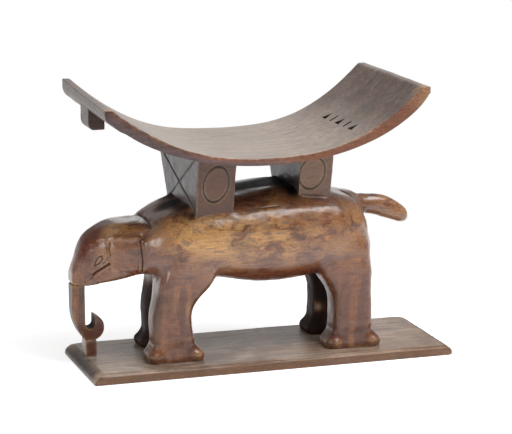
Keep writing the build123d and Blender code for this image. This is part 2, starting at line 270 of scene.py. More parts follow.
def place(tree, stretch=(1, 1, 1)):  # the piece's own coordinates in metres, stretched
    coords = addNode(tree, "TexCoord", {}).outputs["Object"]
    return addNode(tree, "Mapping", {"Vector": coords, "Scale": stretch}).outputs["Vector"]


def cloud(tree, stretch, detail, roughness, warp=0.0):
    inputs = {"Scale": 1, "Detail": detail, "Roughness": roughness, "Distortion": warp}
    return addNode(tree, "TexNoise", {"Vector": place(tree, stretch), **inputs}).outputs["Fac"]


def stored(tree, name):
    return addNode(tree, "Attribute", {}, attribute_name=name).outputs["Fac"]


def between(tree, value, low, high, start=0.0, end=1.0):
    inputs = {"Value": value, "From Min": low, "From Max": high, "To Min": start, "To Max": end}
    return addNode(tree, "MapRange", inputs, interpolation_type="SMOOTHSTEP").outputs["Result"]


def maths(tree, operation, first, second):
    return addNode(tree, "Math", {0: first, 1: second}, operation=operation).outputs[0]


def times(tree, first, second):
    return maths(tree, "MULTIPLY", first, second)


def blendColour(tree, share, first, second, mode="MIX"):
    settings = {"data_type": "RGBA", "blend_type": mode, "clamp_factor": True}
    return addNode(tree, "Mix", {"Factor": share, "A": first, "B": second}, **settings).outputs["Result"]


def painted(tree, colour, look, coats):  # coats are (share, name of a colour) pairs, one over the other
    for share, name in coats:
        colour = blendColour(tree, share, colour, look[name])
    return colour


def shaded(tree, colour, value, share=1.0):
    return blendColour(tree, share, colour, value, "MULTIPLY")


def bump(tree, heights):  # heights are (value, millimetres) pairs, one on the other
    below = {}
    for value, height in heights:
        node = addNode(tree, "Bump", {"Strength": 1, "Distance": height * mm, "Height": value, **below})
        below = {"Normal": node.outputs["Normal"]}
    return below["Normal"]


def newWood(name):
    material = bpy.data.materials.new(name)
    return material, emptyTree(material)


def surface(tree, inputs):
    shader = addNode(tree, "BsdfPrincipled", inputs)
    addNode(tree, "OutputMaterial", {"Surface": shader.outputs["BSDF"]})


# the near-black is laid as painted shadow and painted shade, besides small dark nicks, cracks and grime; the
# rubbed colour is worn wood and painted highlight on the toe tops; the deep red is also painted shade low on
# the body
elephantFinish = {
    "chestnut": (0.33, 0.12, 0.04), "umber": (0.115, 0.038, 0.02), "gold": (0.70, 0.36, 0.115),
    "ember": (0.16, 0.034, 0.012), "mauve": (0.11, 0.068, 0.066), "soot": (0.010, 0.007, 0.008),
    "rubbedAndShine": (0.40, 0.23, 0.11), "glue": (0.46, 0.26, 0.11), "roughness": (0.17, 0.36),
    "coat": 0.9, "coatRoughness": 0.21,
}


def elephantWood():
    look = elephantFinish
    material, tree = newWood("polished elephant wood")
    upright, wear, glue, ember, gold, mauve, storedShadeAndSoot, dirt = (
        stored(tree, layer) for layer in ("upright", "wear", "glue", "ember", "gold", "mauve", "soot", "dirt")
    )
    streaks = cloud(tree, (26, 190, 190), 5, 0.6, 0.5)
    legStreaks = cloud(tree, (190, 190, 22), 5, 0.6, 0.4)
    grain = blendColour(tree, upright, streaks, legStreaks)
    blotches = cloud(tree, (17, 17, 17), 4, 0.6, 1.0)
    dabs = cloud(tree, (34, 58, 58), 6, 0.65, 1.2)
    specks = cloud(tree, (280, 480, 480), 4, 0.65)
    scratches = cloud(tree, (18, 520, 520), 2, 0.5, 0.3)
    nicks = cloud(tree, (30, 260, 150), 3, 0.55, 0.8)
    bands = cloud(tree, (55, 55, 7), 3, 0.5)
    goldShare = between(tree, maths(tree, "ADD", dabs, blotches), 0.84, 1.1, 0.05, 1.0)
    film = between(tree, maths(tree, "ADD", dabs, grain), 0.98, 1.3, 0.0, 0.8)
    colour = blendColour(tree, between(tree, blotches, 0.38, 0.6), look["umber"], look["chestnut"])
    colour = painted(tree, colour, look, (
        (between(tree, dabs, 0.38, 0.58, 0.05, 0.85), "chestnut"),
        (times(tree, ember, between(tree, dabs, 0.3, 0.55, 0.65, 1.0)), "ember"),
        (times(tree, gold, goldShare), "gold"),
        (maths(tree, "MAXIMUM", film, times(tree, mauve, 0.75)), "mauve"),
    ))
    colour = shaded(tree, colour, between(tree, grain, 0.25, 0.72, 0.76, 1.16))
    fineMarks = maths(tree, "ADD", specks, scratches)
    colour = shaded(tree, colour, between(tree, fineMarks, 0.82, 1.16, 0.76, 1.16))
    # painted shadow under the seat and pillars, painted shade in hollows, in the trunk's curl and on the
    # inner and front faces of the legs, together with grime and cracks
    soot = maths(tree, "MAXIMUM", storedShadeAndSoot, times(tree, dirt, 0.92))
    colour = painted(tree, colour, look, (
        (between(tree, nicks, 0.63, 0.72, 0, 0.45), "soot"),
        (times(tree, upright, between(tree, bands, 0.36, 0.54, 0, 0.95)), "umber"),
        # rubbed wear, and painted highlight on the toe tops
        (times(tree, wear, between(tree, dabs, 0.4, 0.6, 0.15, 0.75)), "rubbedAndShine"),
        (times(tree, glue, between(tree, dabs, 0.38, 0.55, 0.3, 1.0)), "glue"),
        (soot, "soot"),
    ))
    rough = between(tree, maths(tree, "ADD", grain, dabs), 0.7, 1.3, *look["roughness"])
    dull = maths(tree, "MAXIMUM", soot, times(tree, ember, 0.5))
    polish = maths(tree, "SUBTRACT", 1, times(tree, upright, 0.6))
    surface(tree, {
        "Base Color": colour,
        "Roughness": maths(tree, "ADD", rough, times(tree, soot, 0.35)),
        "Coat Weight": times(tree, polish, between(tree, dull, 0.1, 0.6, look["coat"], 0)),
        "Coat Roughness": look["coatRoughness"],
        "Specular IOR Level": between(tree, dull, 0.2, 0.8, 0.5, 0.15),
        "Normal": bump(tree, [(grain, 0.12), (dabs, 0.5), (scratches, 0.05)]),
    })
    return material


def bareWood(name, look):  # matt wood with lengthwise grain, paler or browner where it is worn, with painted sheen and painted shade where a piece asks for them
    material, tree = newWood(name)
    tan, pale, wear, frost, storedShadeAndSoot, dirt = (
        stored(tree, layer) for layer in ("tan", "pale", "wear", "frost", "soot", "dirt")
    )
    streaks = cloud(tree, look["streakStretch"], 6, 0.7, 0.5)
    longStreaks = cloud(tree, look["longStretch"], 4, 0.55, 0.8)
    blotches = cloud(tree, look["blotchStretch"], 5, 0.6, 0.5)
    speckle = cloud(tree, (120, 420, 420), 3, 0.6)
    cracks = cloud(tree, look["crackStretch"], 2, 0.5, 0.2)
    colour = blendColour(tree, between(tree, blotches, 0.35, 0.65), look["dark"], look["pale"])
    colour = painted(tree, colour, look, (
        (between(tree, longStreaks, 0.42, 0.62, 0, 0.7), "brown"),
        (tan, "tan"),
        # paler: bleached wood, and painted sheen on the seat's top and the plank's far side; grey-violet:
        # painted sheen, and a tint on the seat's lower near edge
        (times(tree, pale, 0.8), "bleachAndSheen"),
        (times(tree, wear, between(tree, blotches, 0.35, 0.6, 0.3, 0.9)), "rubbedAndShine"),
        (frost, "frost"),
    ))
    calm = maths(tree, "SUBTRACT", 1, times(tree, tan, 0.8))
    colour = shaded(tree, colour, between(tree, streaks, 0.36, 0.64, *look["contrast"]), calm)
    colour = shaded(tree, colour, between(tree, speckle, 0.35, 0.65, 0.84, 1.1))
    colour = painted(tree, colour, look, (
        (between(tree, cracks, 0.66, 0.73, 0, look["cracks"]), "soot"),
        # painted shade on the pieces, with darker end grain, cracks and grime
        (maths(tree, "MAXIMUM", storedShadeAndSoot, times(tree, dirt, 0.7)), "soot"),
    ))
    surface(tree, {
        "Base Color": colour,
        "Roughness": between(tree, streaks, 0.3, 0.7, *look["roughness"]),
        "Normal": bump(tree, [(streaks, look["relief"]), (blotches, 0.4), (speckle, 0.1)]),
    })
    return material


# the bleached and the grey-violet colours also serve as painted sheen, the near-black also as painted shade
seatFinish = {
    "dark": (0.10, 0.067, 0.054), "pale": (0.19, 0.137, 0.115), "brown": (0.15, 0.085, 0.055),
    "tan": (0.24, 0.082, 0.037), "rubbedAndShine": (0.42, 0.25, 0.13), "bleachAndSheen": (0.385, 0.30, 0.24),
    "frost": (0.17, 0.135, 0.15), "soot": (0.012, 0.008, 0.009), "streakStretch": (6, 190, 190),
    "longStretch": (4, 42, 42), "blotchStretch": (14, 14, 14), "contrast": (0.56, 1.32),
    "crackStretch": (7, 170, 170), "cracks": 0.35, "roughness": (0.28, 0.42), "relief": 0.25,
}
plankFinish = dict(
    seatFinish,
    dark=(0.18, 0.12, 0.085), pale=(0.45, 0.34, 0.265), brown=(0.24, 0.14, 0.085),
    contrast=(0.58, 1.28), crackStretch=(6, 120, 120), cracks=0.8, tan=(0.155, 0.066, 0.026),
    bleachAndSheen=(0.55, 0.45, 0.375), rubbedAndShine=(0.32, 0.18, 0.095), streakStretch=(12, 190, 190),
    longStretch=(3.5, 34, 34), roughness=(0.32, 0.48), relief=0.3,
)
pillarFinish = dict(
    seatFinish,
    dark=(0.088, 0.037, 0.021), pale=(0.145, 0.062, 0.034), brown=(0.165, 0.062, 0.028),
    tan=(0.24, 0.105, 0.055), frost=(0.085, 0.066, 0.07), streakStretch=(60, 60, 60),
    longStretch=(14, 14, 30), contrast=(0.82, 1.14), cracks=0, relief=0.18,
)
elephantMaterial = elephantWood()
seatMaterial = bareWood("worn seat wood", seatFinish)
plankMaterial = bareWood("worn plank wood", plankFinish)
pillarMaterial = bareWood("carved pillar wood", pillarFinish)
print("finishes mixed")


# elephant: one skin over all its sections, carved, then parted again at the section joints
figure = {
    "cell": 1.82,
    "stubTops": {"front_pillar": 269, "rear_pillar": 286},  # low stubs under the pillars, inside them
    "stubInset": 2.0, "firstSmoothing": 4,
    "meltRounds": 60,  # how far thighs, rump, flank and tail run into each other
    "meltLevels": (112, 150, 250, 275), "legRounding": 64, "legLevels": (42, 64, 120, 140),
    "rumpLevels": (110, 130, 200, 220), "shoulderLevels": (225, 240, 268, 290),
    "headStart": -194,  # forward of this the skin is twice as fine
    "tailStart": (160, 205),
    "tailLevel": 190,  # the tail and the thighs stand beyond the same plane
    "tailThickening": {"x": 217, "reach": 20, "height": 4.5},
    "tailRootDrop": {"x": 182, "reach": 14, "height": 4.0}, "footInset": 7, "footTaper": (22, 60),
    "ankle": {"level": 43, "reach": 9, "depth": 1.4}, "footLevel": 19, "footSink": 1.2,
    "handMarks": 0.45,
}


carvedLines = [  # height, width and path of the lines on both cheeks, as places along and up the stool
    (-2.0, 1.5, [(-257.5, 176.5), (-267.3, 168), (-276.3, 161.2), (-279.5, 157)]),  # mouth
    (1.5, 1.7, [(-256.5, 172), (-268.5, 162.5), (-277, 154), (-282, 146.5)]),  # tusk
    (2.5, 4.0, [(-279, 204), (-274, 210), (-263, 216), (-254, 218), (-234, 217.5), (-212, 216)]),  # brow
    (-1.6, 1.5, [(-210.5, 213), (-209, 198), (-207.3, 182), (-207.3, 162)]),  # rear edge of the ear
    (-1.8, 2.0, [(-257, 209), (-260, 200), (-258.5, 191)]),  # front edge of the ear
    (-0.45, 0.8, [(-264, 188.5), (-270.5, 175)]),  # wrinkles
    (-0.45, 0.8, [(-260.5, 185.5), (-266, 174.5)]),
    (-0.45, 0.8, [(-280, 172), (-273, 168)]),
    (-0.45, 0.8, [(-283, 181), (-276.5, 191.5)]),
]
eye = {
    "centre": (-272.5, 179.5), "along": (0.5, 0.866), "length": 7.2, "width": 2.5, "bulge": 1.1,
    "socket": {"middle": (5, 2), "reach": (20, 13), "depth": 3.2},
    "lid": {"out": 1.9, "width": 0.8, "height": 0.5},
    "rim": {"out": 0.4, "width": 0.6, "height": -0.65},
}
meltedEar = {"rounds": 34, "top": (209, 217), "bottom": (163, 170), "rear": (-218, -211)}
swellings = [  # middle of the swelling, its reach in three directions, and how far it stands out
    ((174, 58, 178), (26, 34, 16), 10.0),
    ((172, 58, 148), (24, 34, 30), 1.5),
    ((174, 46, 236), (20, 28, 18), -6.0),
    ((166, 0, 252), (26, 22, 18), 6.0),
    ((146, 0, 264), (26, 26, 18), 3.0),
    ((-209, 50, 190), (6, 12, 24), 2.0),
    ((-194, 78, 26), (12, 20, 8), 4.5),
    ((-122, 78, 26), (13, 20, 8), 4.5),
    ((106, 78, 26), (12, 20, 8), 4.5),
    ((174, 76, 26), (13, 20, 8), 4.5),
    ((-235, 42, 224), (24, 14, 9), 3.2),
]
neckGroove = [
    (-206, -49.5, 214), (-199, -50.5, 224), (-193, -47, 233), (-191, -24, 237.9), (-189.5, 6, 238.4),
]
rumpFold = [(138, -10, 262), (147, -22, 257), (154, -42, 247), (159, -54, 232), (163, -60, 214)]
backCrack = [(-128, -84, 252), (-98, -83.5, 254), (-55, -79.5, 256.8), (-23, -78.5, 258.5), (8, -78.5, 260)]

torsoLow, torsoHigh = boxOf("torso")
middleY = (torsoLow.y + torsoHigh.y) / 2
trunkLow, trunkHigh = boxOf("trunk")
trunkMiddleY = (trunkLow.y + trunkHigh.y) / 2
headJointLevel = boxOf("head")[0].z


def stub(name, top):  # the low part of a pillar, a little smaller, to close its socket in the back
    form = formOf(name)
    bmesh.ops.bisect_plane(
        form, geom=form.verts[:] + form.edges[:] + form.faces[:],
        plane_co=(0, 0, top * mm), plane_no=(0, 0, 1), clear_outer=True,
    )
    bmesh.ops.holes_fill(form, edges=[edge for edge in form.edges if edge.is_boundary], sides=0)
    low, high = boxOf(name)
    middle = (low + high) / 2
    for vert in form.verts:
        for axis in (0, 1):
            offset = vert.co[axis] / mm - middle[axis]
            vert.co[axis] -= math.copysign(min(figure["stubInset"], abs(offset)), offset) * mm
    return meshOf("stub", form)


def mirroredPath(path, middle):
    return path + [(x, 2 * middle - y, z) for x, y, z in reversed(path)]


bodyCuts = [  # a path, its depth and its width
    (mirroredPath(neckGroove, middleY), 1.8, 4.6),
    (rumpFold, 1.6, 3.0),
    (backCrack, 0.9, 1.3),
]


def carveHead(points, normals):
    flat = points[:, [0, 2]]
    height = sum(rise * cut(awayFrom(flat, path), width) for rise, width, path in carvedLines)
    along = np.array(eye["along"])
    across = np.array((along[1], -along[0]))
    fromEye = np.stack([(flat - eye["centre"]) @ along, (flat - eye["centre"]) @ across], 1)
    ring = np.linalg.norm(fromEye / (eye["length"], eye["width"]), axis=1)
    height += eye["bulge"] * np.sqrt(np.clip(1 - ring ** 2, 0, 1))
    for edge in (eye["lid"], eye["rim"]):
        height += edge["height"] * cut((ring - 1) * eye["width"] - edge["out"], edge["width"])
    socket = eye["socket"]
    height -= socket["depth"] * cut(np.linalg.norm((fromEye - socket["middle"]) / socket["reach"], axis=1), 1)
    return height * fade(np.abs(normals[:, 1]), 0.3, 0.6) * fade(-points[:, 0], 196, 204)


def meltEars(form):  # the ears' flat edges run into the head above and below
    points, normals = readForm(form)
    x, y, z = points.T
    shape = meltedEar
    edge = fade(z, *shape["top"]) + 1 - fade(z, *shape["bottom"])
    edge = np.maximum(edge, 0.55 * fade(x, *shape["rear"]))
    soften(form, shape["rounds"], edge * (x < -200) * (x > -275) * (np.abs(y - middleY) > 22))


def shapeBody(form):  # swellings, tail and feet
    points, normals = readForm(form)
    for (middleX, outY, middleZ), reach, height in swellings:
        folded = np.stack([points[:, 0], np.abs(points[:, 1] - middleY), points[:, 2]], 1)
        away = np.linalg.norm((folded - (middleX, outY, middleZ)) / np.array(reach), axis=1)
        points = points + normals * (height * cut(away, 1))[:, None]
    x, y, z = points.T
    onTail = (x > figure["tailStart"][0]) * (z > figure["tailStart"][1])
    thick, root, ankle = figure["tailThickening"], figure["tailRootDrop"], figure["ankle"]
    z += onTail * thick["height"] * cut(x - thick["x"], thick["reach"]) * normals[:, 2]
    z -= onTail * root["height"] * cut(x - root["x"], root["reach"]) * fade(normals[:, 2], -0.2, 0.4)
    sideY = y - middleY
    outside = (1 - fade(z, *figure["footTaper"])) * fade(np.abs(sideY) - 52, 5, 30)
    y -= np.sign(sideY) * figure["footInset"] * outside
    narrowed = ankle["depth"] * cut(z - ankle["level"], ankle["reach"])
    moveForm(form, points - normals * (1, 1, 0) * narrowed[:, None])


def carveFigure(form):
    shapeBody(form)
    points, normals = readForm(form)
    points = points + normals * carveHead(points, normals)[:, None]
    for path, depth, width in bodyCuts:
        points = points - normals * (depth * cut(awayFrom(points, path), width))[:, None]
    marks = ripple(points, (26, 17, 17), 3.1) + 0.5 * ripple(points, (11, 8, 8), 8.7)
    calm = 1 - 0.6 * fade(-points[:, 0], 250, 262)
    points = points + normals * (figure["handMarks"] * marks * calm)[:, None]
    points[:, 2] -= figure["footSink"] * (points[:, 2] < figure["footLevel"])
    moveForm(form, points)


def softSpots(points, spots):  # soft round spots, as (x, distance from the middle, z, reach, strength)
    folded = np.stack([points[:, 0], -np.abs(points[:, 1] - middleY), points[:, 2]], 1)
    total = sum(spot[4] * cut(np.linalg.norm(folded - spot[:3], axis=1), spot[3]) for spot in spots)
    return np.clip(total, 0, 1)


figureSpots = {
    "gold": [
        (-115, -90, 232, 38, 0.95), (-62, -95, 230, 36, 0.95), (-20, -97, 234, 30, 0.85),
        (-150, -90, 212, 28, 0.75), (-185, -60, 222, 22, 0.4), (-90, -95, 205, 30, 0.6),
        (10, -98, 205, 30, 0.5), (70, -96, 215, 34, 0.4), (-225, -30, 226, 22, 0.75),
        (230, -10, 240, 26, 0.35), (0, -45, 282, 34, 0.5), (-150, -60, 250, 25, 0.6),
        (140, -80, 235, 24, 0.35), (-40, -97, 190, 30, 0.5), (120, -90, 190, 40, 0.22),
        (-150, -80, 100, 22, 0.3), (30, -97, 200, 34, 0.5), (-250, -30, 224, 16, 0.6),
        (-230, -14, 234, 20, 0.5), (-268, -40, 186, 14, 0.5),
    ],
    # deep red wood; the spots round the belly and low on the rump and legs are also painted shade
    "ember": [
        (-40, -62, 122, 46, 0.95), (30, -62, 122, 46, 0.95), (75, -56, 130, 38, 0.8),
        (-80, -56, 130, 34, 0.8), (-298, 0, 190, 26, 0.85), (-290, 0, 215, 22, 0.8),
        (-270, -8, 232, 20, 0.6), (-205, -20, 150, 34, 0.6), (-292, -22, 204, 22, 0.7),
        (-280, -26, 224, 18, 0.6), (-262, -22, 146, 26, 0.5), (170, -20, 200, 34, 0.4),
        (-20, -80, 140, 30, 0.5), (-165, -20, 235, 26, 0.5), (10, -92, 136, 30, 0.35),
        (-60, -92, 136, 30, 0.35), (70, -90, 138, 28, 0.35), (150, -85, 172, 40, 0.25),
        (140, -85, 90, 42, 0.3), (-165, -85, 165, 36, 0.22), (-160, -85, 70, 36, 0.2),
    ],
    "mauve": [
        (-188, -52, 232, 16, 0.8), (-235, -52, 186, 17, 0.55), (-190, -60, 178, 22, 0.5),
        (-18, -97, 232, 10, 0.7), (-12, -97, 216, 9, 0.6), (-51, -97, 199, 13, 0.7),
        (-74, -97, 204, 8, 0.6), (38, -97, 206, 12, 0.5), (60, -96, 190, 18, 0.35),
        (20, 97, 215, 30, 0.5), (100, 97, 200, 26, 0.4),
    ],
    # painted shadow on the back and neck, under the seat and round the pillars
    "soot": [
        (55, 0, 292, 34, 1.0), (20, 0, 292, 30, 1.0), (-20, 0, 288, 30, 1.0), (-60, 0, 280, 28, 1.0),
        (-90, 0, 276, 20, 0.8), (-140, 0, 266, 26, 0.95), (-135, -45, 262, 22, 0.95),
        (-134, -78, 252, 9, 0.8), (43, -42, 282, 20, 1.0), (38, -62, 272, 13, 0.9),
        (-190, -26, 236, 11, 0.5), (105, -40, 268, 15, 0.4), (-160, 0, 262, 22, 0.7),
    ],
}


figureMarksAndShade = {
    "fineWearAndShade": (3, 0.22),  # rounds of averaging, and the height in millimetres that is fully worn, or fully dirty and shaded in a hollow
    "broadShadeAndDirt": (60, 3.2),
    "grainTurns": (120, 165),  # below these levels the grain runs up the legs
    # the toe tops: painted highlight, and rubbed wear
    "toeWearAndHighlight": {"level": 25, "reach": 7, "rubAndShine": 0.9},
    "innerShadeLevels": (110, 140),  # below these levels the inner faces of the legs are painted in shade
    # painted shade on the faces towards -X, strong on the far legs and light on the near ones
    "frontShade": {"far": 0.92, "near": 0.25}, "crackWidth": 1.2,
    "barePatch": {"centre": (110, 62), "reach": (11, 8)},
    "glueLine": {"rise": 1.5, "width": 2.2, "front": -283, "halfWidth": 20},
}


def stainAndLightFigure(form):
    look = figureMarksAndShade
    points, normals = readForm(form)
    x, z, sideY = points[:, 0], points[:, 2], points[:, 1] - middleY
    for name, spots in figureSpots.items():
        keepValues(form, **{name: softSpots(points, spots)})
    keepValues(form, upright=1 - fade(z, *look["grainTurns"]))
    markWearAndShade(form, look)
    # painted highlight on the toe tops, laid with rubbed wear
    toeWearAndHighlight = cut(z - look["toeWearAndHighlight"]["level"], look["toeWearAndHighlight"]["reach"]) * fade(normals[:, 2], 0.05, 0.4)
    toeWearAndHighlight *= look["toeWearAndHighlight"]["rubAndShine"] * fade(ripple(points, (16, 16, 16), 2.6), -0.25, 0.15)
    keepValues(form, wear=np.maximum(keptValues(form, "wear"), toeWearAndHighlight))
    # painted shade on the inner faces of the legs and on their faces towards -X, much stronger on the far
    # side
    inward = -normals[:, 1] * np.sign(sideY)
    front = np.where(sideY > 0, look["frontShade"]["far"], look["frontShade"]["near"])
    innerShade = np.maximum(fade(inward, 0.3, 0.75), front * fade(-normals[:, 0], 0.25, 0.65))
    innerShade *= 1 - fade(z, *look["innerShadeLevels"])
    crack = cut(awayFrom(points, backCrack), look["crackWidth"])
    bare = patch(points, **look["barePatch"]) * (inward > 0.4) * (sideY > 0)
    dirt = np.maximum.reduce([keptValues(form, "dirt"), innerShade, crack])
    line = look["glueLine"]
    glue = cut(z - headJointLevel - line["rise"], line["width"]) * (x < line["front"])
    glue *= np.abs(points[:, 1] - trunkMiddleY) < line["halfWidth"]
    keepValues(form, dirt=np.minimum(1, dirt) * (1 - 0.9 * bare), glue=np.maximum(glue, bare))


def meltFigure(form):  # the sections run into one another
    points, normals = readForm(form)
    x, z, sideY = points[:, 0], points[:, 2], np.abs(points[:, 1] - middleY)
    rounds = figure["meltRounds"]
    body = within(x, torsoLow.x - 2, torsoLow.x + 14, torsoHigh.x + 2, torsoHigh.x + 8)
    soften(form, rounds, within(z, *figure["meltLevels"]) * body)
    soften(form, figure["legRounding"], within(z, *figure["legLevels"]))
    soften(form, rounds, fade(x, 120, 150) * within(z, *figure["rumpLevels"]))
    shoulderLine = within(z, *figure["shoulderLevels"]) * fade(sideY, 25, 45)
    soften(form, rounds, shoulderLine * within(x, -200, -180, 150, 166))
    neckCorner = patch(points, (-200, 208), (22, 26)) * (sideY > 40) * (x > -206)
    soften(form, rounds, neckCorner)
    tailRoot = patch(points, (170, 248), (26, 20)) * (sideY < 36)
    soften(form, rounds, 1.3 * tailRoot)


skin = formOf("torso", "head", "left_ear", "right_ear", "tail")
for legName in ("left_front_leg", "right_front_leg", "left_hind_leg", "right_hind_leg"):
    skin.from_mesh(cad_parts[legName].data)
for pillarName, top in figure["stubTops"].items():
    skin.from_mesh(stub(pillarName, top))
skin = reskin(skin, figure["cell"])
soften(skin, figure["firstSmoothing"])
meltFigure(skin)
meltEars(skin)
headFaces = [face for face in skin.faces if face.calc_center_median().x < figure["headStart"] * mm]
headEdges = list({edge for face in headFaces for edge in face.edges})
bmesh.ops.subdivide_edges(skin, edges=headEdges, cuts=1, use_grid_fill=True)
carveFigure(skin)
soften(skin, 1, share=0.3)
stainAndLightFigure(skin)
smoothFaces(skin)
print("elephant carved:", len(skin.faces), "faces")


def partFigure(whole):  # cut the whole skin at the joints, and give each section its own faces
    legPlane, neckPlane, tailPlane = torsoLow.z * mm, torsoLow.x * mm, torsoHigh.x * mm
    tailLevel = figure["tailLevel"] * mm
    along, up = Vector((1, 0, 0)), Vector((0, 0, 1))
    for way, plane, above in ((up, legPlane, 0), (along, neckPlane, legPlane), (along, tailPlane, tailLevel)):
        faces = [face for face in whole.faces if face.calc_center_median().z > above]
        geom = list({item for face in faces for item in (*face.verts, *face.edges)}) + faces
        bmesh.ops.bisect_plane(whole, geom=geom, plane_co=way * plane, plane_no=way)
    whole.normal_update()
    normalLayer = whole.verts.layers.float_vector.new("wholeNormal")
    for vert in whole.verts:
        vert[normalLayer] = vert.normal

    def sectionOf(face):
        co = face.calc_center_median()
        if co.z < legPlane:
            side = "left" if co.y < middleY * mm else "right"
            return side + ("_front_leg" if co.x < 0 else "_hind_leg")
        if co.x < neckPlane:
            return "head"
        return "tail" if co.x > tailPlane and co.z > tailLevel else "torso"

    sections = [sectionOf(face) for face in whole.faces]
    for name in sorted(set(sections)):
        part = whole.copy()
        part.faces.ensure_lookup_table()
        others = [part.faces[index] for index, section in enumerate(sections) if section != name]
        bmesh.ops.delete(part, geom=others, context="FACES")
        yield name, part


def closedSection(name, part, *nodes):  # caps are flat and sharp, the carved skin keeps its own shading
    rim = [edge for edge in part.edges if edge.is_boundary]
    caps = bmesh.ops.holes_fill(part, edges=rim, sides=0)["faces"]
    for edge in rim:
        edge.smooth = False
    for face in bmesh.ops.triangulate(part, faces=caps)["faces"]:
        face.smooth = False
    part.normal_update()
    normalLayer = part.verts.layers.float_vector["wholeNormal"]
    loopNormals = [
        loop.vert[normalLayer].copy() if face.smooth else face.normal.copy()
        for face in part.faces for loop in face.loops
    ]
    part.verts.layers.float_vector.remove(normalLayer)
    piece = finishPiece(name, part, elephantMaterial, "elephant_wood", *nodes)
    piece.data.normals_split_custom_set(loopNormals)


for sectionName, part in partFigure(skin):
    covered = ("head", "left_ear", "right_ear") if sectionName == "head" else (sectionName,)
    closedSection("carved_" + sectionName, part, *covered)
skin.free()
print("elephant parted into its sections")


# trunk and the block under it
trunkShape = {
    "cell": 1.3, "smoothing": 5, "unevenness": 0.35, "darkLevels": (60, 84),
    "curl": {"centre": (-272, 66), "reach": (11, 11)}, "glueLine": {"drop": 9.5, "width": 2.6},
    "fineWearAndShade": (3, 0.14), "broadShadeAndDirt": (60, 1.6),
}
blockShape = {"cell": 1.2, "smoothing": 2, "unevenness": 0.25, "fineWearAndShade": (3, 0.12), "broadShadeAndDirt": (30, 3.0)}


def roughBlank(name, shape, size, start):  # a section's skin with the unevenness of hand work
    form = reskin(formOf(name), shape["cell"])
    soften(form, shape["smoothing"])
    points, normals = readForm(form)
    return form, *raised(form, points, normals, shape["unevenness"] * ripple(points, size, start))


def carveTrunk():
    shape = trunkShape
    form, points, normals = roughBlank("trunk", shape, (12, 9, 22), 1.7)
    x, y, z = points.T
    front = -normals[:, 0]
    # painted shade inside the curl and on the faces towards -X, which also take a painted grey-mauve sheen;
    # the trunk is darker towards its bottom
    curl = patch(points, **shape["curl"]) * (1 - fade(np.abs(normals[:, 1]), 0.3, 0.7))
    keepValues(
        form,
        upright=np.ones(len(points)),
        ember=0.9 * (1 - fade(z, *shape["darkLevels"])) + 0.3 * fade(x, -300, -288),
        mauve=fade(front, 0.55, 0.85),
        glue=cut(z - trunkHigh.z + shape["glueLine"]["drop"], shape["glueLine"]["width"]),
        soot=np.clip(1.3 * curl + 0.35 * fade(front, 0.5, 0.9), 0, 0.9),
    )
    markWearAndShade(form, shape)
    smoothFaces(form)
    finishPiece("carved_trunk", form, elephantMaterial, "elephant_wood", "trunk")


def carveBlock():
    form, points, normals = roughBlank("trunk_prop", blockShape, (9, 9, 9), 5.2)
    keepValues(form, gold=np.full(len(points), 0.5), upright=np.ones(len(points)))
    markWearAndShade(form, blockShape)
    smoothFaces(form)
    finishPiece("carved_trunk_block", form, elephantMaterial, "elephant_wood", "trunk_prop")


carveTrunk()
carveBlock()
print("trunk carved")


cornerSigns = [(x, y, z) for x in (-1, 1) for y in (-1, 1) for z in (-1, 1)]


def boxCorners(low, high):
    return {
        signs: Vector((low, high)[sign > 0][axis] for axis, sign in enumerate(signs)) for signs in cornerSigns
    }


def blockOf(corners, cell):  # a block between eight corners, divided into cells of about that size
    form = bmesh.new()
    bmesh.ops.create_cube(form, size=2)
    for axis in range(3):
        spans = [
            (corner - corners[(*signs[:axis], -signs[axis], *signs[axis + 1:])]).length
            for signs, corner in corners.items()
        ]
        edges = [edge for edge in form.edges if abs((edge.verts[0].co - edge.verts[1].co)[axis]) > 1e-4]
        cuts = max(1, round(max(spans) / cell) - 1)
        bmesh.ops.subdivide_edges(form, edges=edges, cuts=cuts, use_grid_fill=True)
    for vert in form.verts:
        spot = Vector((0, 0, 0))
        for signs, corner in corners.items():
            spot += corner * math.prod((1 + sign * part) / 2 for sign, part in zip(signs, vert.co))
        vert.co = spot * mm
    return form


def nodeCorners(name):  # the outermost point of a section towards each of its corners
    points = np.array([vert.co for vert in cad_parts[name].data.vertices]) / mm
    low, high = points.min(0), points.max(0)
    spread = (points - (low + high) / 2) / (high - low)
    return {signs: Vector(points[(spread @ np.array(signs)).argmax()]) for signs in cornerSigns}


pillarShape = {
    "cell": 1.2, "edgeSmoothing": 3,
    "unevenness": (0.5, 0.25),  # broad and fine
    "grooveDepth": 2.0, "ovalWidth": 1.1, "saltireWidth": 1.6, "fineWearAndShade": (3, 0.2),
    "broadShadeAndDirt": (40, 1.6),
}
pillarCarving = {
    "front_pillar": {
        "oval": ((-101.6, 304.6), (20.4, 30)),  # centre and reach
        "saltire": ([(-79, 259), (3, 292.4), (106, 333)], [(66, 258), (3, 292.4), (-92, 343)]),
        # painted shade over the whole front pillar
        "paintedShade": 0.2,
        "pale": 0,
        "tan": 0,
    },
    "rear_pillar": {"oval": ((63, 308.8), (21, 27.5)), "saltire": (), "paintedShade": 0, "pale": 0.18, "tan": 0.3},
}


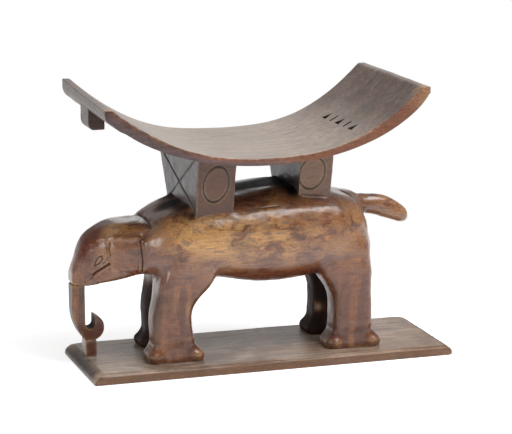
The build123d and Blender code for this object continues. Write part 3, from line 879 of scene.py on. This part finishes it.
def carvePillar(name):
    shape, carving = pillarShape, pillarCarving[name]
    form = blockOf(nodeCorners(name), shape["cell"])
    soften(form, shape["edgeSmoothing"])
    points, normals = readForm(form)
    broad, fine = shape["unevenness"]
    height = broad * ripple(points, (22, 22, 14), 4.4) + fine * ripple(points, (7, 7, 7), 1.2)
    facing = fade(np.abs(normals[:, 1]), 0.75, 0.9)
    centre, reach = carving["oval"]
    ring = np.linalg.norm((points[:, [0, 2]] - centre) / np.array(reach), axis=1)
    grooves = cut((ring - 1) * reach[0], shape["ovalWidth"]) * facing
    for path in carving["saltire"]:
        line = cut(awayFrom(points[:, [1, 2]], path), shape["saltireWidth"])
        grooves = np.maximum(grooves, line * fade(-normals[:, 0], 0.75, 0.9))
    points, normals = raised(form, points, normals, height - shape["grooveDepth"] * grooves)
    # the grooves are darkened; painted grey sheen on the faces towards -X
    keepValues(
        form,
        soot=np.clip(0.95 * grooves + carving["paintedShade"], 0, 1),
        pale=carving["pale"] * facing,
        frost=0.9 * fade(-normals[:, 0], 0.6, 0.9),
        tan=facing * (0.35 * (1 - fade(ring, 0.8, 1.0)) + carving["tan"]),
    )
    markWearAndShade(form, shape)
    smoothFaces(form)
    finishPiece("carved_" + name, form, pillarMaterial, "pillar_wood", name)


carvePillar("front_pillar")
carvePillar("rear_pillar")
print("pillars carved")


seatShape = {
    "cell": 2.4,
    "slab": 12,  # it is pierced as a flat slab, and then bent
    "rim": 1.4, "sharpAngle": 0.7, "tipDepth": 3.2, "rearTip": {"fullness": 7, "reach": 26},
    "frontTip": {"depth": 18, "swell": 6, "swellPlace": 19, "swellReach": 16, "bevel": 13, "bevelReach": 3},
    "frontTipRun": (60, 110),
    "nearTipReach": 5,  # the near corner of the front tip reaches a little further
    "farTipLift": 7,  # the seat is a little warped
    "farDip": 4, "wave": 0.5, "chips": 1.6,
}
seatMarks = {
    "wornCorner": (228, 10, 18),  # x, distance from the near edge, reach
    "crack": {"y": 62, "width": 2.0, "run": (-70, -55, -28, -12)},
    "tipCracks": ((-72, 205), (-34, 192), (8, 200), (44, 184)),  # y, and x where each one starts
    "tipCrackWidth": 1.8,
}
piercingRow = {
    "count": 5, "x": 130, "y": -24, "pitch": 30, "length": 15, "triangleWidth": 17, "barWidth": 4.5,
    "rounding": 1.1,
}
seatLow, seatHigh = boxOf("seat")


def seatProfile():  # top and underside heights of the seat along its length
    seat = formOf("seat")
    tree = BVHTree.FromBMesh(seat)
    xs = np.linspace(seatLow.x + 0.3, seatHigh.x - 0.3, 241)

    def heights(start, way):
        spots = [Vector((x, seatHigh.y - 12, start)) * mm for x in xs]
        return np.array([tree.ray_cast(spot, Vector((0, 0, way)))[0].z for spot in spots]) / mm

    tops, undersides = heights(900, -1), heights(0, 1)
    seat.free()
    rear, front = seatShape["rearTip"], seatShape["frontTip"]
    undersides = np.minimum(undersides, tops - seatShape["tipDepth"])
    undersides -= rear["fullness"] * cut(xs - seatHigh.x, rear["reach"])
    inward = xs - seatLow.x
    depth = front["depth"] + front["swell"] * cut(inward - front["swellPlace"], front["swellReach"])
    depth -= front["bevel"] * np.exp(-inward / front["bevelReach"])
    fuller = np.minimum(undersides, tops - depth)
    undersides += (fuller - undersides) * (1 - fade(inward, *seatShape["frontTipRun"]))
    return xs, tops, undersides


def roundEdges(form, edges, width):
    bmesh.ops.bevel(form, geom=edges, offset=width * mm, segments=3, profile=0.5, affect="EDGES", material=-1)


def roundArrises(form, width, angle):
    form.normal_update()
    arrises = [edge for edge in form.edges if edge.calc_face_angle(0) > angle]
    roundEdges(form, arrises, width)


def riseOf(edge):
    return abs(edge.verts[0].co.z - edge.verts[1].co.z) / mm


def piercingTool(index):  # triangles and bars by turns
    row = piercingRow
    form = bmesh.new()
    if index % 2 == 0:
        bmesh.ops.create_cone(form, cap_ends=True, segments=3, radius1=1, radius2=1, depth=1)
        bmesh.ops.rotate(form, verts=form.verts, matrix=Matrix.Rotation(-math.pi / 2, 3, "Z"))
        bmesh.ops.translate(form, verts=form.verts, vec=(-0.25, 0, 0))
        size = (row["length"] / 1.5, row["triangleWidth"] / math.sqrt(3), 40)
    else:
        bmesh.ops.create_cube(form, size=1)
        size = (row["length"], row["barWidth"], 40)
    bmesh.ops.scale(form, verts=form.verts, vec=Vector(size) * mm)
    roundEdges(form, [edge for edge in form.edges if riseOf(edge) > 1], row["rounding"])
    middle = Vector((row["x"], row["y"] + (index - 2) * row["pitch"], 6))
    bmesh.ops.translate(form, verts=form.verts, vec=middle * mm)
    return form


def pierced(form):
    row = piercingRow
    tools = bmesh.new()
    for index in range(row["count"]):
        mesh = meshOf("tool", piercingTool(index))
        tools.from_mesh(mesh)
        bpy.data.meshes.remove(mesh)
    slab = linked("slab", meshOf("slab", form))
    toolBlank = linked("tools", meshOf("tools", tools))
    saw = slab.modifiers.new("piercing", "BOOLEAN")
    saw.operation = "DIFFERENCE"
    saw.solver = "EXACT"
    saw.object = toolBlank
    result = takeForm(slab, toolBlank)
    tall = [edge for edge in result.edges if riseOf(edge) > 6]
    bmesh.ops.subdivide_edges(result, edges=tall, cuts=3, use_grid_fill=True)
    result.normal_update()
    soot = result.verts.layers.float.new("soot")
    for face in result.faces:  # the walls of the piercings are painted dark, as painted shade in the holes
        middle = face.calc_center_median() / mm
        inRow = abs(middle.x - row["x"]) < row["length"] and abs(middle.y - row["y"]) < 2.6 * row["pitch"]
        if inRow and abs(face.normal.z) < 0.5:
            for vert in face.verts:
                vert[soot] = 1
    return result


def bendSeat(form):  # gives back how far up between underside and top each vertex is
    xs, tops, undersides = seatProfile()
    points, normals = readForm(form)
    x, y, z = points.T
    top, underside = np.interp(x, xs, tops), np.interp(x, xs, undersides)
    z[:] = underside + (top - underside) * (z / seatShape["slab"])
    x[:] = np.clip(x, seatLow.x + 0.5, seatHigh.x - 0.5)
    moveForm(form, points)
    points, normals = readForm(form)
    x, y, z = points.T
    underside = np.interp(x, xs, undersides)
    share = np.clip((z - underside) / (np.interp(x, xs, tops) - underside), 0, 1)
    wide = (y - seatLow.y) / (seatHigh.y - seatLow.y)
    lift = seatShape["farTipLift"] * fade(-x, 120, 285) - seatShape["farDip"] * cut(x - 130, 90)
    chips = fade(ripple(points, (9, 30, 9), 6.1), 0.1, 0.4) * fade(-y, -seatLow.y - 14, -seatLow.y - 1)
    z += lift * wide ** 2 * np.where(x < 0, share, 1) + seatShape["wave"] * ripple(points, (60, 40, 60), 2.2)
    x -= seatShape["nearTipReach"] * fade(-x, 200, 285) * (1 - wide)
    y += seatShape["chips"] * chips * fade(share, 0.45, 0.8)
    moveForm(form, points)
    return share


def markSeatWearAndLight(form, share):
    points, normals = readForm(form)
    x, y, z = points.T
    rim = np.maximum(fade(np.abs(normals[:, 1]), 0.3, 0.8), 0.5 * fade(np.abs(y) - seatHigh.y, -8, -1))
    up = fade(normals[:, 2], 0.5, 0.8)
    front = 1 - fade(x, -190, -120)
    endGrain = fade(x, seatHigh.x - 5, seatHigh.x - 1)
    # the lower half of the near edge, towards the front, is tinted grey-violet
    violet = 0.6 * rim * (1 - fade(share, 0.3, 0.85)) * (1 - fade(x, -60, 60))
    nearEdge = cut(y - seatLow.y, 16) * (0.25 + 0.4 * front) * up
    arris = fade(share, 0.7, 0.95) * fade(ripple(points, (8, 8, 8), 4.4), -0.1, 0.2) * rim
    arris *= 1 - 0.65 * fade(x, -150, -60)
    cornerX, cornerY, cornerReach = seatMarks["wornCorner"]
    corner = cut(np.hypot(x - cornerX, y - seatLow.y - cornerY), cornerReach)
    crack = seatMarks["crack"]
    cracks = cut(y - crack["y"] - 3 * np.sin(x / 9), crack["width"]) * within(x, *crack["run"])
    for crackY, start in seatMarks["tipCracks"]:
        split = cut(y - crackY - 4 * np.sin(x / 17), seatMarks["tipCrackWidth"]) * fade(x, start, start + 14)
        cracks = np.maximum(cracks, 0.55 * split)
    # painted shade: darker at the front end, along the front of the near edge and on its lower half, on faces
    # that do not look up
    paintedShade = 0.3 * (1 - fade(x, -290, -276)) + 0.5 * rim * front
    paintedShade = np.maximum(paintedShade, 0.5 * rim * (1 - fade(share, 0.1, 0.6)) * (1 - fade(x, -90, 40)))
    soot = cracks * up + 0.75 * paintedShade * (1 - up) + keptValues(form, "soot")
    keepValues(
        form,
        tan=rim * (0.85 - 0.35 * front),
        # the middle of the top is paler, bleached wood and painted sheen; the rear end is paler too
        pale=np.maximum(up * within(x, -270, -150, 50, 200), endGrain),
        # painted reflection: pale grey on the underside
        frost=np.maximum(0.4 * fade(-normals[:, 2], 0.3, 0.8), violet),
        wear=np.maximum.reduce([corner, nearEdge, arris]),
        soot=np.clip(soot, 0, 1),
    )


def carveSeat():
    slabLow, slabHigh = Vector((*seatLow.xy, 0)), Vector((*seatHigh.xy, seatShape["slab"]))
    form = blockOf(boxCorners(slabLow, slabHigh), seatShape["cell"])
    roundArrises(form, seatShape["rim"], seatShape["sharpAngle"])
    form = pierced(form)
    markSeatWearAndLight(form, bendSeat(form))
    smoothFaces(form)
    for edge in form.edges:
        edge.smooth = edge.calc_face_angle(0) < seatShape["sharpAngle"]
    finishPiece("curved_seat", form, seatMaterial, "seat_wood", "seat")


lugShape = {
    "cell": 1.3, "smoothing": 3,
    "drop": 4,  # the front one stands lower and is shorter
    "shortening": 0.2,
    "letIn": 6,  # into the seat
    "unevenness": 0.3, "fineWearAndShade": (3, 0.4), "broadShadeAndDirt": (30, 1.6),
}


def carveLug(name):
    shape = lugShape
    form = reskin(formOf(name), shape["cell"])
    soften(form, shape["smoothing"])
    points, normals = readForm(form)
    x, y, z = points.T
    if name == "front_seat_lug":
        x -= shape["shortening"] * (x - x.min())
        z -= shape["drop"]
    z += (shape["letIn"] + shape["drop"]) * fade(normals[:, 2], 0.3, 0.6)
    points, normals = raised(form, points, normals, shape["unevenness"] * ripple(points, (14, 14, 10), 3.3))
    # painted shade on the underside and the sides, painted grey sheen on the faces towards -X
    paintedShadeFaces = np.maximum(fade(-normals[:, 2], 0.3, 0.8), fade(np.abs(normals[:, 1]), 0.5, 0.9))
    keepValues(form, soot=0.6 * paintedShadeFaces, frost=0.6 * fade(-normals[:, 0], 0.5, 0.9))
    markWearAndShade(form, shape)
    smoothFaces(form)
    finishPiece("carved_" + name, form, pillarMaterial, "seat_wood", name)


carveSeat()
carveLug("front_seat_lug")
carveLug("rear_seat_lug")
print("seat carved")


plankShape = {
    "cell": 3.2, "edgeHeight": 12.8, "endHeight": 4, "endInset": 15, "sideInset": 9,
    "cornerRound": 12, "sharpCorner": 3, "rim": 1.3, "wave": 0.35,
}
plankMarks = {
    "feet": ((-157, -52, 42), (-143, 52, 42), (141, -52, 40), (141, 52, 40), (-277, 17, 14)),  # x, y, reach
    "darkRoundFeet": 0.3, "scoredLine": {"y": -82, "width": 1.6}, "cornerReach": 30,
}
plankLow, plankHigh = boxOf("base_plank")
plankMiddle, plankHalf = np.array((plankLow + plankHigh) / 2), np.array((plankHigh - plankLow) / 2)


def shapePlank(form):
    shape = plankShape
    points, normals = readForm(form)
    x, y, z = points.T
    middle, half = plankMiddle[:2], plankHalf[:2]
    roundness = np.where((x < 0) * (y < 0), shape["sharpCorner"], shape["cornerRound"])
    beyond = np.abs(points[:, :2] - middle) - half + roundness[:, None]
    rounded = (beyond > 0).all(1)
    corner = beyond[rounded]
    turned = corner * (corner.max(1) / np.maximum(np.linalg.norm(corner, axis=1), 1e-6))[:, None]
    points[rounded, :2] += np.sign(points[rounded, :2] - middle) * (turned - corner)
    levels = shape["edgeHeight"], shape["endHeight"]
    slope, endSlope = (np.clip((z - level) / (plankHigh.z - level), 0, 1) for level in levels)
    x -= (x - middle[0]) / half[0] * shape["endInset"] * endSlope ** 2
    y -= (y - middle[1]) / half[1] * shape["sideInset"] * slope
    moveForm(form, points)


def carvePlank():
    form = blockOf(boxCorners(plankLow, plankHigh), plankShape["cell"])
    shapePlank(form)
    roundArrises(form, plankShape["rim"], seatShape["sharpAngle"])
    points, normals = readForm(form)
    wave = plankShape["wave"] * ripple(points, (60, 30, 60), 7.7) * (points[:, 2] > 2)
    points, normals = raised(form, points, normals, wave)
    x, y, z = points.T
    marks = plankMarks
    inFromEnd, inFromSide = (plankHalf - np.abs(points - plankMiddle))[:, :2].T
    endGrain = 1 - fade(inFromEnd - 1.5 * ripple(points, (30, 12, 30), 2.9), 13, 17)
    corner = cut(np.hypot(inFromEnd, inFromSide), marks["cornerReach"])
    # darker round the feet
    underFeet = sum(cut(np.hypot(x - footX, y - footY), reach) for footX, footY, reach in marks["feet"])
    line = marks["scoredLine"]
    scored = cut(y - line["y"] + 1.5 * np.sin(x / 40), line["width"])
    scored *= fade(ripple(points, (50, 50, 50), 1.2), -0.3, 0.1)
    patches = fade(ripple(points, (120, 60, 60), 9.4), 0.0, 0.4)
    # painted sheen: the far side and the left end of the top are paler
    farSheen = fade(y, -50, 30) + 0.6 * (1 - fade(x, -230, -150))
    pale = np.clip(0.1 + 0.3 * patches + 0.5 * farSheen + 0.3 * scored, 0, 1) * (normals[:, 2] > 0.8)
    keepValues(
        form,
        tan=0.85 * fade(np.abs(normals[:, 1]), 0.3, 0.8),
        soot=np.clip(0.8 * endGrain * (1 - corner), 0, 1),
        wear=np.clip(0.2 * cut(inFromSide - 6, 4.5) * (z > 8) + 0.35 * corner, 0, 1),
        dirt=np.clip(marks["darkRoundFeet"] * underFeet, 0, 1) * (z > 12),
        pale=pale * (1 - 0.9 * fade(x, 100, 200)),
    )
    smoothFaces(form)
    finishPiece("worn_plank", form, plankMaterial, "plank_wood", "base_plank")


carvePlank()
print("plank carved")


# floor, lights and camera
room = {
    "floorColour": (0.84, 0.84, 0.84),
    "overhead": {"place": (1.05, -1.25, 2.9), "size": 2.1, "power": 98},
    "side": {"place": (-2.7, -1.0, 0.55), "size": 0.8, "power": 10},
    "back": {"place": (1.1, 3.2, 1.15), "size": 1.6, "power": 5}, "ambient": 0.32,
    "nearFloor": 0.3,  # the floor shows the shadow near the stool and is plain white further off
    "farFloor": 0.9, "shadowLift": 0.66,
}
shot = {
    "target": (-4.365, 0, 226.99), "azimuth": -0.31636, "elevation": 0.20913, "distance": 3714.18,
    "lens": 162.69,
}


def layFloor():
    form = bmesh.new()
    bmesh.ops.create_grid(form, x_segments=1, y_segments=1, size=60)
    floor = linked("floor", meshOf("floor", form))
    material, tree = newWood("pale floor")
    plain = {"Base Color": room["floorColour"], "Roughness": 0.9, "Specular IOR Level": 0}
    shader = addNode(tree, "BsdfPrincipled", plain)
    rays = addNode(tree, "LightPath", {}).outputs
    seen = maths(tree, "MAXIMUM", rays["Is Camera Ray"], rays["Is Glossy Ray"])
    seen = maths(tree, "MAXIMUM", seen, rays["Is Transmission Ray"])
    distance = addNode(tree, "VectorMath", {0: place(tree)}, operation="LENGTH").outputs["Value"]
    far = times(tree, seen, between(tree, distance, room["nearFloor"], room["farFloor"]))
    glow = addNode(tree, "Emission", {"Strength": times(tree, seen, room["shadowLift"])})
    white = addNode(tree, "Emission", {})
    lifted = addNode(tree, "AddShader", {0: shader.outputs[0], 1: glow.outputs[0]})
    mix = addNode(tree, "MixShader", {0: far, 1: lifted.outputs[0], 2: white.outputs[0]})
    addNode(tree, "OutputMaterial", {"Surface": mix.outputs[0]})
    floor.data.materials.append(material)


def lightWorld():
    world = bpy.data.worlds.new("studio")
    bpy.context.scene.world = world
    tree = emptyTree(world)
    soft = addNode(tree, "Background", {"Color": (1, 1, 1), "Strength": room["ambient"]})
    addNode(tree, "OutputWorld", {"Surface": soft.outputs[0]})


def hangLight(name):
    light = bpy.data.lights.new(name, "AREA")
    light.shape = "SQUARE"
    light.size = room[name]["size"]
    light.energy = room[name]["power"]
    lamp = linked(name, light)
    lamp.location = room[name]["place"]
    lamp.rotation_euler = (Vector((0, 0, 0.2)) - lamp.location).to_track_quat("-Z", "Y").to_euler()


def setCamera():
    camera = bpy.data.cameras.new("camera")
    camera.lens = shot["lens"]
    camera.sensor_width = 36
    camera.sensor_fit = "HORIZONTAL"
    viewer = linked("camera", camera)
    azimuth, elevation = shot["azimuth"], shot["elevation"]
    back = Vector((
        math.sin(azimuth) * math.cos(elevation), -math.cos(azimuth) * math.cos(elevation), math.sin(elevation)
    ))
    viewer.location = (Vector(shot["target"]) + back * shot["distance"]) * mm
    viewer.rotation_euler = (-back).to_track_quat("-Z", "Y").to_euler()
    bpy.context.scene.camera = viewer


layFloor()
lightWorld()
for lampName in ("overhead", "side", "back"):
    hangLight(lampName)
setCamera()
bpy.context.scene.view_settings.view_transform = "Standard"
